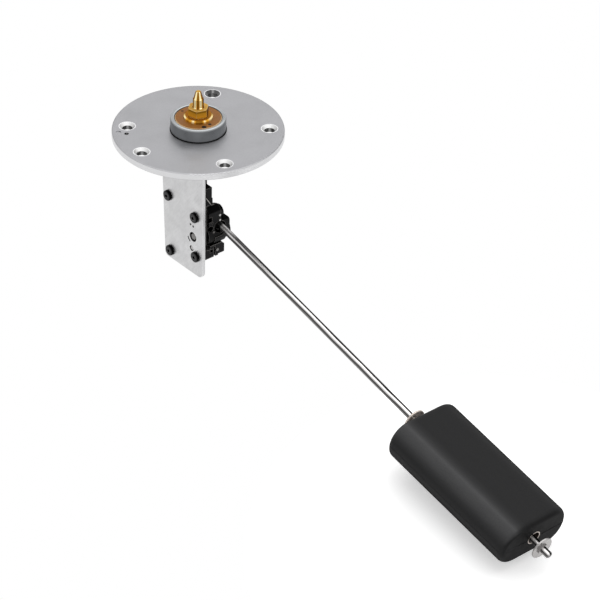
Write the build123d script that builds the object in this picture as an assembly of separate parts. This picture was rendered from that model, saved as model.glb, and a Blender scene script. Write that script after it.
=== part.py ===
from build123d import *
import math
import os

# All lengths are millimetres. +Z points up out of the tank, the origin is the
# centre of the flange's underside, and +X is the way the float arm reaches.

# fits and clearances
fit_gap = 0.02
running_gap = 0.05

# length of a cut that goes right through
through_reach = 20.0

# mounting flange
flange_radius = 36.5
flange_thick = 3.0
flange_edge_round = 0.6
screw_circle_radius = 30.0
screw_angles = (52.5, 130.0, 227.5, 270.0, 343.0)
screw_hole_radius = 2.25
countersink_radius = 3.35
countersink_depth = 1.1
vent_hole_spot = (-15.4, -26.2)
vent_hole_radius = 0.95
weld_dimple_spot = (-18.5, -28.1)
weld_dimple_radius = 1.1
weld_dimple_depth = 0.25
centre_hole_radius = 4.6
land_inner_radius = 25.5
recess_depth = 0.3

# terminal stack on top of the flange
stud_radius = 2.3
thread_radius = 2.5
thread_above_nut = 0.3
thread_end_taper = 0.15
stud_bottom = -10.5
stud_tip = 21.3
stud_cone_height = 3.1
stud_tip_radius = 1.05
stud_shoulder = 0.3
seal_height = 0.4
seal_lip = 0.25
collar_radius = 11.8
collar_top = 9.0
collar_lip_width = 1.9
collar_floor = 1.0
disc_top = 8.75
disc_inset = 0.25
washer_radius = 6.15
washer_height = 1.3
washer_bevel = 0.55
nut_flats = 8.0
nut_height = 3.8
nut_chamfer = 0.35
nut_turn = 12.0
inner_nut_turn = 40.0

# insulating bush and contact stack below the flange
bush_radius = 6.6
bush_height = 2.4
lock_washer_radius = 5.0
lock_washer_height = 0.8
strip_thick = 0.5
strip_width = 2.0
strip_side_gap = 0.4
strip_eye_radius = 4.4
tongue_bottom = -28.4
tongue_width = 0.55
tongue_bend_y = -2.4
tongue_tip = (-5.2, -23.7)

# upright bracket plate
plate_thick = 1.2
plate_front = -8.34
plate_back = plate_front + plate_thick
plate_left_top = -15.0
plate_left_bottom = -12.4
plate_right = 13.8
plate_bottom = -62.9
plate_corner_left = 1.8
plate_corner_right = 3.4
foot_end = -19.3
foot_corner = 4.0
bend_radius = 1.0
plate_screw_spots = ((-10.0, -31.6), (8.3, -33.8), (-8.6, -58.9), (9.0, -53.4))
small_hole_spot = (6.0, -50.6)
small_hole_radius = 1.35
dowel_radius = 1.0
dowel_front = -8.1
dowel_back = -5.2
test_hole_spots = ((5.3, -38.8), (7.1, -39.0))
test_hole_radius = 0.6
arc_slot_radius = 3.6
arc_slot_start = 203.0
arc_slot_sweep = 32.0
arc_slot_width = 0.8

# pivot of the arm, an axis along Y
pivot_x = 6.9
pivot_z = -44.4
pin_radius = 1.5
pin_front = -8.2
pin_collar_radius = 2.2
pin_collar_front = -6.2
pin_collar_back = -5.4
pin_window_radius = 2.3
pin_end = 9.9

# cap screws and threaded inserts behind the plate
screw_head_radius = 2.4
screw_head_height = 1.3
screw_head_round = 0.55
screw_radius = 1.25
screw_socket_flats = 1.6
screw_socket_depth = 0.8
insert_radius = 1.7

# moulded sender housing
housing_face = -4.2
housing_left = -12.4
housing_right = 11.2
housing_top = -24.5
housing_bottom = -55.2
housing_corner = 2.0
boss_radius = 2.5
tab_left = 1.5
tab_right = 11.5
tab_top = -19.6
tab_face = -1.3
tab_edge_round = 0.8
lower_block_left = -9.5
lower_block_right = 11.5
lower_block_top = -49.0
lower_block_face = 5.6
lower_block_round = 0.9
lower_block_slope = 2.0
lower_block_wall = 1.6
lower_block_cheek = 6.2
lower_block_floor = 1.2
lower_block_sill = 1.4
side_groove_depth = 1.0
side_notch_low = 2.6
side_notch_high = 4.0
side_notch_depth = 1.2
under_step_length = 5.0
under_step_height = 0.6
under_step_start = 1.8
shoulder_left = 8.6
shoulder_top = -25.2
shoulder_bottom = -28.2
stop_clear_radius = 7.8
stop_clear_face = -2.5
hub_clear_radius = 6.7
stop_rib_inner = 5.75
stop_rib_thick = 1.3
stop_rib_face = -2.9
stop_rib_outer = 7.4
block_pin_spot = (1.1, -52.1)
block_pin_radius = 0.75
block_pin_start = 8.6
block_pin_end = 12.1

# resistor card
card_left = -8.1
card_right = 0.9
card_bottom = -52.0
card_top = -32.2
card_thick = 0.8
card_back = -4.7

# rotor that holds the float rod, drawn as it stands at rest
rotor_front = -3.8
rotor_step = 3.2
rotor_back = 5.2
rotor_hub_radius = 5.5
rotor_hub_end = 7.9
rotor_rim_radius = 6.1
rotor_rim_front = -1.0
rotor_face_x = 11.6
rotor_face_bottom = -44.6
rotor_front_outline = ((3.8, -39.5), (6.6, -31.6), (9.3, -30.6), (11.6, -33.0), (11.6, -44.4), (9.0, -46.5))
rotor_corner = 1.0
rotor_bevel = 0.7
lobe_spot = (8.2, -35.2)
lobe_radius = 2.8
clamp_outline = ((3.5, -41.0), (5.5, -37.7), (12.5, -37.7), (12.5, -45.5), (9.6, -48.6), (5.0, -48.6))
clamp_corner = 1.6
clamp_back = 7.7
clamp_round = 0.8
rotor_slot_bottom = -37.1
rotor_slot_top = -34.7
rotor_slot_inner = -1.6
rotor_slot_depth = 1.6
rotor_eye_spot = (-2.3, -40.5)
rotor_eye_radius = 1.3
rotor_pinhole_spot = (-1.4, -38.0)
rotor_pinhole_radius = 0.4
rod_pocket_spot = (2.4, -40.8)
rod_pocket_radius = 2.8
rod_pocket_depth = 1.6
rivet_spots = ((11.4, 2.5, -35.1), (11.4, 2.5, -37.6), (11.5, -1.0, -42.7), (10.1, 2.6, -42.6))
rivet_radius = 0.5
rivet_length = 1.0
tail_length = 13.6
tail_root_width = 7.0
tail_tip_width = 5.0
tail_front = -2.4
tail_back = 0.6
lug_radius = 7.4
lug_width = 2.6
lug_back = -2.9
swing_up = 24.0
swing_down = 50.0

# wiper spring below the rotor's tail
wiper_thick = 0.25
wiper_width = 4.4
wiper_root = 6.6
wiper_turn = 8.4
wiper_contact_radii = (10.2, 12.6)
wiper_finger_width = 0.9
wiper_dimple = 0.35

# float rod
rod_radius = 1.5
rod_y = 2.5
rod_mark = (11.75, -39.95)
rod_drop = 13.5
rod_start_x = 2.2
rod_end_round = 0.35

# float on the rod
float_length = 70.0
float_width = 35.0
float_thick = 19.0
float_side_round = 8.9
float_end_round = 2.6
float_centre_x = 175.9
float_tilt = 1.74
sleeve_outer = 3.15
sleeve_inner = 2.75

# push-on retainers at both ends of the float
retainer_radius = 5.0
retainer_thick = 0.9
retainer_hub_radius = 2.4
retainer_hub_height = 0.7
far_retainer_gap = 3.33
near_retainer_gap = 4.63
rod_beyond_retainer = 4.6

rod_slope = math.radians(rod_drop)
float_slope = math.radians(rod_drop - float_tilt)
float_half_x = float_length / 2 * math.cos(float_slope)
far_retainer_x = float_centre_x - float_half_x - far_retainer_gap
near_retainer_x = float_centre_x + float_half_x + near_retainer_gap
rod_tip_x = near_retainer_x + rod_beyond_retainer
seal_radius = collar_radius + seal_lip
stud_bore = thread_radius + fit_gap
nut_top = disc_top + washer_height + nut_height
rod_direction = (math.cos(rod_slope), 0, -math.sin(rod_slope))
card_face = card_back + card_thick
strip_back = tab_face + strip_thick
bush_bottom = recess_depth - bush_height
lock_washer_bottom = bush_bottom - lock_washer_height
strip_bottom = lock_washer_bottom - strip_thick
stop_lug_half_angle = math.degrees(math.asin(lug_width / 2 / lug_radius))


def rod_point(x):
    """Point of the rod's centre line at the given X, at rest."""
    drop = (x - rod_mark[0]) * math.tan(rod_slope)
    return (x, rod_y, rod_mark[1] - drop)


def upright(outline, y_front, y_back):
    """Prism of an outline drawn in X and Z, between two values of Y."""
    plane = Plane.XZ.offset(-y_back)
    return extrude(plane * outline, amount=y_back - y_front)


def y_cylinder(x, z, radius, y_front, y_back):
    """Cylinder along Y."""
    return upright(Pos(x, z) * Circle(radius), y_front, y_back)


def z_cylinder(x, y, radius, z_low, z_high):
    """Cylinder along Z."""
    return Pos(x, y, (z_low + z_high) / 2) * Cylinder(radius, z_high - z_low)


def x_cylinder(y, z, radius, x_low, x_high):
    """Cylinder along X."""
    return Pos((x_low + x_high) / 2, y, z) * Rot(0, 90, 0) * Cylinder(radius, x_high - x_low)


def box(x0, x1, y0, y1, z0, z1):
    """Box between two corners."""
    centre = Pos((x0 + x1) / 2, (y0 + y1) / 2, (z0 + z1) / 2)
    return centre * Box(x1 - x0, y1 - y0, z1 - z0)


def closed(points):
    """Flat face inside a closed outline."""
    return make_face(Polyline(*points, close=True))


def turned(points):
    """Solid turned about the Z axis from points of radius and height."""
    corners = [(radius, 0, height) for radius, height in points]
    return revolve(closed(corners), Axis.Z)


def around_pivot(angle, radius):
    """Point in X and Z at an angle about the pivot, counted up from +X."""
    turn = math.radians(angle)
    return (pivot_x + radius * math.cos(turn), pivot_z + radius * math.sin(turn))


def mounting_flange():
    """Round plate with five countersunk screw holes and a recess inside its seat."""
    plate = z_cylinder(0, 0, flange_radius, 0, flange_thick)
    plate = fillet(plate.edges().group_by(Axis.Z)[-1], flange_edge_round)
    plate = chamfer(plate.edges().group_by(Axis.Z)[0], 0.3)
    hole = turned((
        (0, -1),
        (screw_hole_radius, -1),
        (screw_hole_radius, flange_thick - countersink_depth),
        (countersink_radius, flange_thick),
        (countersink_radius, flange_thick + 1),
        (0, flange_thick + 1),
    ))
    for angle in screw_angles:
        turn = math.radians(angle)
        x = screw_circle_radius * math.cos(turn)
        y = screw_circle_radius * math.sin(turn)
        plate -= Pos(x, y, 0) * hole
    plate -= z_cylinder(0, 0, centre_hole_radius, -1, flange_thick + 1)
    plate -= z_cylinder(*vent_hole_spot, vent_hole_radius, -1, flange_thick + 1)
    plate -= z_cylinder(0, 0, land_inner_radius, -1, recess_depth)
    dimple_floor = flange_thick - weld_dimple_depth
    plate -= z_cylinder(*weld_dimple_spot, weld_dimple_radius, dimple_floor, flange_thick + 1)
    return plate


def terminal_seal():
    """Rubber ring between the flange and the collar."""
    ring = z_cylinder(0, 0, seal_radius, flange_thick, flange_thick + seal_height)
    return ring - z_cylinder(0, 0, centre_hole_radius, 0, collar_top)


def terminal_collar():
    """Metal cup with a rounded shoulder and a rolled lip."""
    low = flange_thick + seal_height
    cup = z_cylinder(0, 0, collar_radius, low, collar_top)
    bowl_radius = collar_radius - collar_lip_width
    cup -= z_cylinder(0, 0, bowl_radius, low + collar_floor, collar_top + 1)
    cup -= z_cylinder(0, 0, centre_hole_radius, low - 1, collar_top)
    rim = cup.edges().group_by(Axis.Z)[-1]
    cup = fillet(rim, 0.85)
    return cup


def terminal_disc():
    """Insulating disc that fills the cup."""
    low = flange_thick + seal_height + collar_floor
    radius = collar_radius - collar_lip_width - fit_gap
    disc = z_cylinder(0, 0, radius, low, disc_top)
    disc = chamfer(disc.edges().group_by(Axis.Z)[-1], disc_inset)
    return disc - z_cylinder(0, 0, stud_bore, low - 1, disc_top + 1)


def terminal_washer():
    """Bevelled washer under the terminal nut."""
    washer = z_cylinder(0, 0, washer_radius, disc_top, disc_top + washer_height)
    washer = chamfer(washer.edges().group_by(Axis.Z)[-1], washer_bevel)
    return washer - z_cylinder(0, 0, stud_bore, disc_top - 1, disc_top + 3)


def hexagon_nut(bottom, height, turn):
    """Hexagon nut on the stud with both faces chamfered."""
    outline = RegularPolygon(radius=nut_flats / 2, side_count=6, major_radius=False)
    body = extrude(Pos(0, 0, bottom) * Rot(0, 0, turn) * outline, amount=height)
    corner_radius = nut_flats / math.sqrt(3)
    barrel = z_cylinder(0, 0, corner_radius, bottom, bottom + height)
    barrel = chamfer(barrel.edges(), nut_chamfer * 1.4, nut_chamfer)
    nut = body & barrel
    return nut - z_cylinder(0, 0, stud_bore, bottom - 1, bottom + height + 1)


def terminal_nut():
    """Nut that clamps the terminal stack."""
    return hexagon_nut(disc_top + washer_height, nut_height, nut_turn)


def inner_nut():
    """Nut that clamps the contact strip under the flange."""
    return hexagon_nut(strip_bottom - nut_height, nut_height, inner_nut_turn)


def terminal_stud():
    """Stud with a bullet-shaped tip."""
    cone_base = stud_tip - stud_cone_height
    return turned((
        (0, stud_bottom),
        (thread_radius - 0.5, stud_bottom),
        (thread_radius, stud_bottom + 0.5),
        (thread_radius, nut_top + thread_above_nut - thread_end_taper),
        (stud_radius, nut_top + thread_above_nut),
        (stud_radius, cone_base - stud_shoulder),
        (stud_radius - stud_shoulder, cone_base),
        (stud_tip_radius + 0.2, stud_tip - 0.35),
        (stud_tip_radius - 0.15, stud_tip),
        (0, stud_tip),
    ))


def inner_bush():
    """Flanged insulating bush that centres the stud in the flange."""
    sleeve_radius = centre_hole_radius - 0.2
    sleeve_top = flange_thick + seal_height + collar_floor
    bush = turned((
        (stud_bore, bush_bottom),
        (bush_radius - 0.5, bush_bottom),
        (bush_radius, bush_bottom + 0.5),
        (bush_radius, recess_depth),
        (sleeve_radius, recess_depth),
        (sleeve_radius, sleeve_top),
        (stud_bore, sleeve_top),
    ))
    return bush


def lock_washer():
    """Plain washer between the bush and the contact strip."""
    washer = z_cylinder(0, 0, lock_washer_radius, lock_washer_bottom, bush_bottom)
    return washer - z_cylinder(0, 0, stud_bore, lock_washer_bottom - 1, 0)


def contact_strip():
    """Bent strip from the stud down behind the housing's tab and round its side."""
    eye_hole = z_cylinder(0, 0, stud_bore, strip_bottom - 1, 0)
    eye = z_cylinder(0, 0, strip_eye_radius, strip_bottom, lock_washer_bottom)
    left = nut_flats / math.sqrt(3) + strip_side_gap
    right = left + strip_width
    bridge = box(0, right, tab_face, strip_back + 1.7, strip_bottom, lock_washer_bottom)
    blade = box(left, right, tab_face, strip_back, tongue_bottom, lock_washer_bottom)
    side = tab_right + strip_thick
    tongue_top = tongue_bottom + tongue_width
    bar = box(left, side, tab_face, strip_back, tongue_bottom, tongue_top)
    tip_y, tip_z = tongue_tip
    tongue = extrude(closed((
        (tab_right, strip_back, tongue_bottom),
        (tab_right, strip_back, tongue_top),
        (tab_right, tongue_bend_y, tongue_top),
        (tab_right, tip_y, tip_z + tongue_width / 2),
        (tab_right, tip_y, tip_z - tongue_width / 2),
        (tab_right, tongue_bend_y, tongue_bottom),
    )), amount=strip_thick, dir=(1, 0, 0))
    strip = eye + bridge + blade + bar + tongue
    return strip - eye_hole


def plate_outline():
    """Outline of the upright plate in X and Z."""
    face = closed((
        (plate_left_top, recess_depth),
        (plate_right, recess_depth),
        (plate_right, plate_bottom),
        (plate_left_bottom, plate_bottom),
    ))
    low = face.vertices().group_by(Axis.Y)[0].sort_by(Axis.X)
    face = fillet(low[-1], plate_corner_right)
    low = face.vertices().group_by(Axis.Y)[0].sort_by(Axis.X)
    return fillet(low[0], plate_corner_left)


def arc_slot():
    """Curved slot beside the pivot hole, in X and Z."""
    path = CenterArc((pivot_x, pivot_z), arc_slot_radius, arc_slot_start, arc_slot_sweep)
    return SlotArc(path, arc_slot_width)


def sender_bracket():
    """Upright sheet plate whose foot is bent out under the flange."""
    foot_low = recess_depth - plate_thick
    wall = closed((
        (0, foot_end, recess_depth),
        (0, plate_back, recess_depth),
        (0, plate_back, plate_bottom - 1),
        (0, plate_front, plate_bottom - 1),
        (0, plate_front, foot_low),
        (0, foot_end, foot_low),
    ))
    half_width = max(plate_right, -plate_left_top) + 1
    sheet = extrude(wall, amount=half_width, both=True)
    along_x = sheet.edges().filter_by(Axis.X)
    inner = along_x.filter_by(lambda e: abs(e.center().Y - plate_front) < 0.01)
    inner = inner.sort_by(Axis.Z)[-1]
    sheet = fillet(inner, bend_radius)
    along_x = sheet.edges().filter_by(Axis.X)
    outer = along_x.group_by(Axis.Z)[-1].sort_by(Axis.Y)[-1]
    sheet = fillet(outer, bend_radius + plate_thick)
    sheet &= upright(plate_outline(), foot_end - 1, plate_back + 1)
    corners = sheet.edges().filter_by(Axis.Z).group_by(Axis.Y)[0]
    sheet = fillet(corners, foot_corner)
    openings = Pos(pivot_x, pivot_z) * Circle(pin_window_radius)
    openings += Pos(*small_hole_spot) * Circle(small_hole_radius)
    openings += arc_slot()
    for spot in test_hole_spots:
        openings += Pos(*spot) * Circle(test_hole_radius)
    for spot in plate_screw_spots:
        openings += Pos(*spot) * Circle(screw_radius + 0.15)
    return sheet - upright(openings, plate_front - 1, plate_back + 1)


def cap_screw(spot):
    """Socket cap screw whose head sits on the plate's front."""
    x, z = spot
    head_front = plate_front - screw_head_height
    head = y_cylinder(x, z, screw_head_radius, head_front, plate_front)
    head = fillet(head.edges().group_by(Axis.Y)[0], screw_head_round)
    socket = RegularPolygon(radius=screw_socket_flats / 2, side_count=6, major_radius=False)
    head -= upright(Pos(x, z) * socket, head_front - 1, head_front + screw_socket_depth)
    shank_end = housing_face - 0.15
    return head + y_cylinder(x, z, screw_radius, plate_front - 0.01, shank_end)


def plate_screws():
    """The four cap screws that hold the housing."""
    return Compound(children=[cap_screw(spot) for spot in plate_screw_spots])


def threaded_inserts():
    """Four threaded inserts in the housing's base."""
    rings = []
    for x, z in plate_screw_spots:
        ring = y_cylinder(x, z, insert_radius, plate_back, housing_face)
        ring -= y_cylinder(x, z, screw_radius + fit_gap, plate_back - 1, housing_face + 1)
        rings.append(ring)
    return Compound(children=rings)


def stop_rib(angle):
    """Radial rib that the rotor's lug comes up to."""
    inner = stop_rib_inner
    outer = stop_rib_outer
    rib = Pos((inner + outer) / 2, 0) * Rectangle(outer - inner, stop_rib_thick)
    return Pos(pivot_x, pivot_z) * Rot(0, 0, angle) * rib


def stop_angles():
    """Directions of the two ribs, just beyond the lug at each limit."""
    rib_half = math.degrees(math.asin(stop_rib_thick / 2 / stop_rib_inner))
    margin = stop_lug_half_angle + rib_half + 2.0
    return (-90 - swing_down - margin, -90 + swing_up + margin)


def housing_outline():
    """Rounded outline of the housing's base with a boss round each screw."""
    width = housing_right - housing_left
    height = housing_top - housing_bottom
    centre = ((housing_left + housing_right) / 2, (housing_bottom + housing_top) / 2)
    outline = Pos(*centre) * RectangleRounded(width, height, housing_corner)
    for x, z in plate_screw_spots:
        outline += Pos(x, z) * Circle(boss_radius)
    ear_x, ear_z = min(plate_screw_spots, key=lambda spot: spot[1])
    ear_top = housing_bottom + housing_corner
    ear = Rectangle(2 * boss_radius, ear_top - ear_z)
    return outline + Pos(ear_x, (ear_top + ear_z) / 2) * ear


def lower_block():
    """Block below the rotor, open where the rotor and its lug pass."""
    block = box(lower_block_left, lower_block_right, plate_back, lower_block_face,
                housing_bottom, lower_block_top)
    top_back = block.edges().filter_by(Axis.X).group_by(Axis.Y)[-1].sort_by(Axis.Z)[-1]
    block = chamfer(top_back, lower_block_slope)
    block = fillet(block.edges().group_by(Axis.Y)[-1], lower_block_round)
    block -= y_cylinder(pivot_x, pivot_z, stop_clear_radius, housing_face, stop_clear_face)
    block -= y_cylinder(pivot_x, pivot_z, hub_clear_radius, stop_clear_face - 0.1,
                        lower_block_face + 1)
    block -= box(lower_block_left + lower_block_wall, lower_block_right - lower_block_cheek,
                 housing_face + lower_block_floor, lower_block_face + 1,
                 housing_bottom + lower_block_sill, lower_block_top + 1)
    block -= box(lower_block_right - side_groove_depth, lower_block_right + 1, -0.5, 0.3,
                 housing_bottom - 1, lower_block_top - side_notch_depth)
    block -= box(lower_block_right - side_notch_depth, lower_block_right + 1, -2.6, -1.0,
                 housing_bottom + side_notch_low, housing_bottom + side_notch_high)
    block -= box(lower_block_right - under_step_length, lower_block_right + 1,
                 under_step_start, lower_block_face + 1,
                 housing_bottom - 1, housing_bottom + under_step_height)
    return block


def sender_housing():
    """Moulded base with upper tab, lower block, stop ribs and card pocket."""
    base = upright(housing_outline(), plate_back, housing_face)
    tab = box(tab_left, tab_right, plate_back, tab_face, housing_top - 1.4, tab_top)
    tab = fillet(tab.edges().group_by(Axis.Z)[-1].filter_by(Axis.X).sort_by(Axis.Y)[-1:]
                 + tab.edges().filter_by(Axis.Z).sort_by(lambda e: e.center().X + e.center().Y)[-1:],
                 tab_edge_round)
    shoulder = box(shoulder_left, tab_right, plate_back, tab_face,
                   shoulder_bottom, shoulder_top)
    body = base + tab + shoulder + lower_block()
    ribs = Sketch() + [stop_rib(angle) for angle in stop_angles()]
    body += upright(ribs, housing_face - 0.5, stop_rib_face)
    card_pocket = box(card_left - 0.1, card_right + 0.1, card_back, lower_block_face + 1,
                      card_bottom - 0.1, card_top + 0.1)
    body -= card_pocket
    body -= y_cylinder(pivot_x, pivot_z, pin_radius + fit_gap, plate_back - 1, through_reach)
    body -= y_cylinder(pivot_x, pivot_z, pin_collar_radius + fit_gap,
                       pin_collar_front - fit_gap, pin_collar_back + fit_gap)
    body -= y_cylinder(*small_hole_spot, dowel_radius + fit_gap, plate_back - 1, dowel_back)
    body -= x_cylinder(*block_pin_spot, block_pin_radius + fit_gap, block_pin_start - 0.1,
                       through_reach)
    for x, z in plate_screw_spots:
        body -= y_cylinder(x, z, insert_radius + fit_gap, plate_back - 1, housing_face + 1)
    return body


def resistor_card():
    """Ceramic card that lies in the housing's pocket."""
    return box(card_left, card_right, card_back, card_face, card_bottom, card_top)


def block_pin():
    """Steel pin that stands out of the lower block's side."""
    pin = x_cylinder(*block_pin_spot, block_pin_radius, block_pin_start, block_pin_end)
    return fillet(pin.edges().group_by(Axis.X)[-1], 0.25)


def locating_dowel():
    """Steel dowel in the housing that stands in the plate's small hole."""
    dowel = y_cylinder(*small_hole_spot, dowel_radius, dowel_front, dowel_back)
    return chamfer(dowel.edges().group_by(Axis.Y)[0], 0.2)


def pivot_pin():
    """Pin that carries the rotor, with a collar moulded into the housing."""
    shaft = y_cylinder(pivot_x, pivot_z, pin_radius, pin_front, pin_end)
    shaft = fillet(shaft.edges().group_by(Axis.Y)[0], 0.5)
    shaft = chamfer(shaft.edges().group_by(Axis.Y)[-1], 0.3)
    collar = y_cylinder(pivot_x, pivot_z, pin_collar_radius, pin_collar_front, pin_collar_back)
    groove = y_cylinder(pivot_x, pivot_z, pin_radius + 1, *clip_span())
    groove -= y_cylinder(pivot_x, pivot_z, pin_radius - 0.4, *clip_span())
    return collar + shaft - groove


def clip_span():
    """Front and back of the retaining clip along Y."""
    front = rotor_hub_end + 0.65
    return (front, front + 0.6)


def pivot_clip():
    """Open clip in the pin's groove."""
    front, back = clip_span()
    ring = Pos(pivot_x, pivot_z) * Circle(3.4)
    ring -= Pos(pivot_x, pivot_z) * Circle(pin_radius - 0.4 + fit_gap)
    ring -= Pos(pivot_x, pivot_z + 3.0) * Rectangle(2.0, 6.0)
    for angle in (215, 325):
        ring -= Pos(*around_pivot(angle, 2.4)) * Circle(0.55)
    return upright(ring, front + fit_gap, back - fit_gap)


def spring_washer():
    """Dished washer between the rotor and the clip."""
    inner = pin_radius + 0.15
    outer = 3.6
    low = rotor_hub_end + running_gap
    high = clip_span()[0]
    wall = 0.22
    ring = turned((
        (inner, high - wall - low),
        (inner, high - low),
        (inner + 0.2, high - low),
        (outer, wall),
        (outer, 0),
        (outer - 0.2, 0),
    ))
    return Pos(pivot_x, low, pivot_z) * Rot(-90, 0, 0) * ring


def tail_outline():
    """Wiper-carrying tail on the far side of the pivot from the rod."""
    return closed((
        (pivot_x, pivot_z + tail_root_width / 2),
        (pivot_x - tail_length, pivot_z + tail_tip_width / 2),
        (pivot_x - tail_length, pivot_z - tail_tip_width / 2),
        (pivot_x, pivot_z - tail_root_width / 2),
    ))


def along_rod(radius, x_from, x_to):
    """Cylinder about the rod's centre line between two values of X."""
    length = (x_to - x_from) / math.cos(rod_slope)
    plane = Plane(origin=rod_point(x_from), x_dir=(0, 1, 0), z_dir=rod_direction)
    return plane * extrude(Circle(radius), amount=length)


def rotor():
    """Moulded rotor with pivot hub, rod holder, stop lug and wiper tail."""
    front = fillet(closed(rotor_front_outline).vertices(), rotor_corner)
    body = upright(front, rotor_front, rotor_step)
    body = chamfer(body.edges().group_by(Axis.Y)[0], rotor_bevel)
    body += y_cylinder(pivot_x, pivot_z, rotor_rim_radius, rotor_rim_front, rotor_back)
    body -= box(rotor_face_x, rotor_face_x + 9, rotor_front - 1, rotor_step,
                rotor_face_bottom, rotor_face_bottom + 16)
    body += y_cylinder(*lobe_spot, lobe_radius, rotor_step - 0.5, rotor_back)
    clamp = fillet(closed(clamp_outline).vertices(), clamp_corner)
    clamp = upright(clamp, rotor_step, clamp_back)
    body += fillet(clamp.edges().group_by(Axis.Y)[-1], clamp_round)
    body += y_cylinder(pivot_x, pivot_z, rotor_hub_radius, rotor_front, rotor_hub_end)
    tail = tail_outline()
    tips = tail.vertices().sort_by(Axis.X)[:2]
    body += upright(fillet(tips, 1.2), tail_front, tail_back)
    lug = Pos(pivot_x, pivot_z - lug_radius / 2) * Rectangle(lug_width, lug_radius)
    body += upright(lug, rotor_front, lug_back)
    body -= box(rotor_face_x - rotor_slot_depth, rotor_face_x + 1, rotor_front - 1,
                rotor_slot_inner, rotor_slot_bottom, rotor_slot_top)
    body -= x_cylinder(*rotor_eye_spot, rotor_eye_radius, rotor_face_x - 3, rotor_face_x + 3)
    body -= x_cylinder(*rotor_pinhole_spot, rotor_pinhole_radius,
                       rotor_face_x - 2.5, rotor_face_x + 2)
    body -= x_cylinder(*rod_pocket_spot, rod_pocket_radius,
                       rotor_face_x - rod_pocket_depth, rotor_face_x + 9)
    body -= along_rod(rod_radius + fit_gap, rod_start_x - 0.2, rotor_face_x + through_reach)
    body -= y_cylinder(pivot_x, pivot_z, pin_radius + running_gap, -through_reach, through_reach)
    for spot in rivet_spots:
        body -= rivet(spot, rivet_radius + fit_gap)
    return body


def rivet(spot, radius):
    """Short cylinder along X that stands out of the rotor's outer face."""
    x, y, z = spot
    return x_cylinder(y, z, radius, x - rivet_length / 2, x + rivet_length / 2)


def rotor_rivets():
    """Small metal rivet heads in the rotor's outer face."""
    heads = []
    for spot in rivet_spots:
        heads.append(rivet(spot, rivet_radius))
    return Compound(children=heads)


def wiper_finger(contact_radius, offset):
    """Bent finger from the leaf down to the card, with a rounded contact."""
    high = tail_front - wiper_thick
    touch = card_face + running_gap
    root = pivot_x - wiper_turn + 0.6
    turn = pivot_x - wiper_turn
    tip = pivot_x - contact_radius
    end = tip - 1.0
    face = closed((
        (root, high),
        (root, tail_front),
        (turn, tail_front),
        (tip, touch + wiper_dimple + wiper_thick),
        (end, touch + wiper_dimple + wiper_thick + 0.4),
        (end, touch + wiper_dimple + 0.4),
        (tip - 0.5, touch + wiper_dimple * 0.4),
        (tip, touch),
        (tip + 0.5, touch + wiper_dimple * 0.4),
        (turn, high),
    ))
    finger = extrude(Pos(0, 0, pivot_z + offset - wiper_finger_width / 2) * face,
                     amount=wiper_finger_width)
    return finger


def wiper_spring():
    """Leaf below the tail with two contact fingers."""
    half = wiper_width / 2
    leaf = box(pivot_x - wiper_turn, pivot_x - wiper_root, tail_front - wiper_thick, tail_front,
               pivot_z - half, pivot_z + half)
    leaf += wiper_finger(wiper_contact_radii[0], -1.2)
    leaf += wiper_finger(wiper_contact_radii[1], 1.2)
    return leaf


def float_rod():
    """Straight round rod from the rotor to beyond the float."""
    rod = along_rod(rod_radius, rod_start_x, rod_tip_x)
    ends = rod.edges().filter_by(GeomType.CIRCLE)
    return chamfer(ends, rod_end_round)


def float_frame():
    """Plane at the float's middle, its Z along the bore."""
    axis = (math.cos(float_slope), 0, -math.sin(float_slope))
    return Plane(origin=rod_point(float_centre_x), x_dir=(0, 1, 0), z_dir=axis)


def float_body():
    """Closed-cell float with rounded sides and a bore along its length."""
    outline = RectangleRounded(float_width, float_thick, float_side_round)
    body = extrude(outline, amount=float_length / 2, both=True)
    ends = body.edges().group_by(Axis.Z)
    body = fillet(ends[0] + ends[-1], float_end_round)
    body -= Cylinder(sleeve_outer + fit_gap, float_length + 2)
    return float_frame() * body


def float_sleeve():
    """Thin tube lining the float's bore."""
    tube = Cylinder(sleeve_outer, float_length)
    tube -= Cylinder(sleeve_inner, float_length + 2)
    return float_frame() * tube


def retainer(x, hub_side):
    """Push-on disc with a short hub on one side."""
    disc = Cylinder(retainer_radius, retainer_thick)
    disc = chamfer(disc.edges(), 0.15)
    hub_centre = hub_side * (retainer_thick + retainer_hub_height) / 2
    hub = Pos(0, 0, hub_centre) * Cylinder(retainer_hub_radius, retainer_hub_height)
    ring = disc + hub - Cylinder(rod_radius + fit_gap, 4 * (retainer_thick + retainer_hub_height))
    plane = Plane(origin=rod_point(x), x_dir=(0, 1, 0), z_dir=rod_direction)
    return plane * ring


def far_retainer():
    """Retainer at the float's end nearer the pivot."""
    return retainer(far_retainer_x, -1)


def near_retainer():
    """Retainer at the rod's tip."""
    return retainer(near_retainer_x, 1)


parts = {
    "mounting_flange": mounting_flange,
    "terminal_seal": terminal_seal,
    "terminal_collar": terminal_collar,
    "terminal_disc": terminal_disc,
    "terminal_washer": terminal_washer,
    "terminal_nut": terminal_nut,
    "terminal_stud": terminal_stud,
    "inner_bush": inner_bush,
    "lock_washer": lock_washer,
    "inner_nut": inner_nut,
    "contact_strip": contact_strip,
    "sender_bracket": sender_bracket,
    "plate_screws": plate_screws,
    "threaded_inserts": threaded_inserts,
    "sender_housing": sender_housing,
    "resistor_card": resistor_card,
    "block_pin": block_pin,
    "locating_dowel": locating_dowel,
    "pivot_pin": pivot_pin,
    "pivot_clip": pivot_clip,
    "spring_washer": spring_washer,
    "rotor": rotor,
    "rotor_rivets": rotor_rivets,
    "wiper_spring": wiper_spring,
    "float_rod": float_rod,
    "float_body": float_body,
    "float_sleeve": float_sleeve,
    "far_retainer": far_retainer,
    "near_retainer": near_retainer,
}

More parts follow.
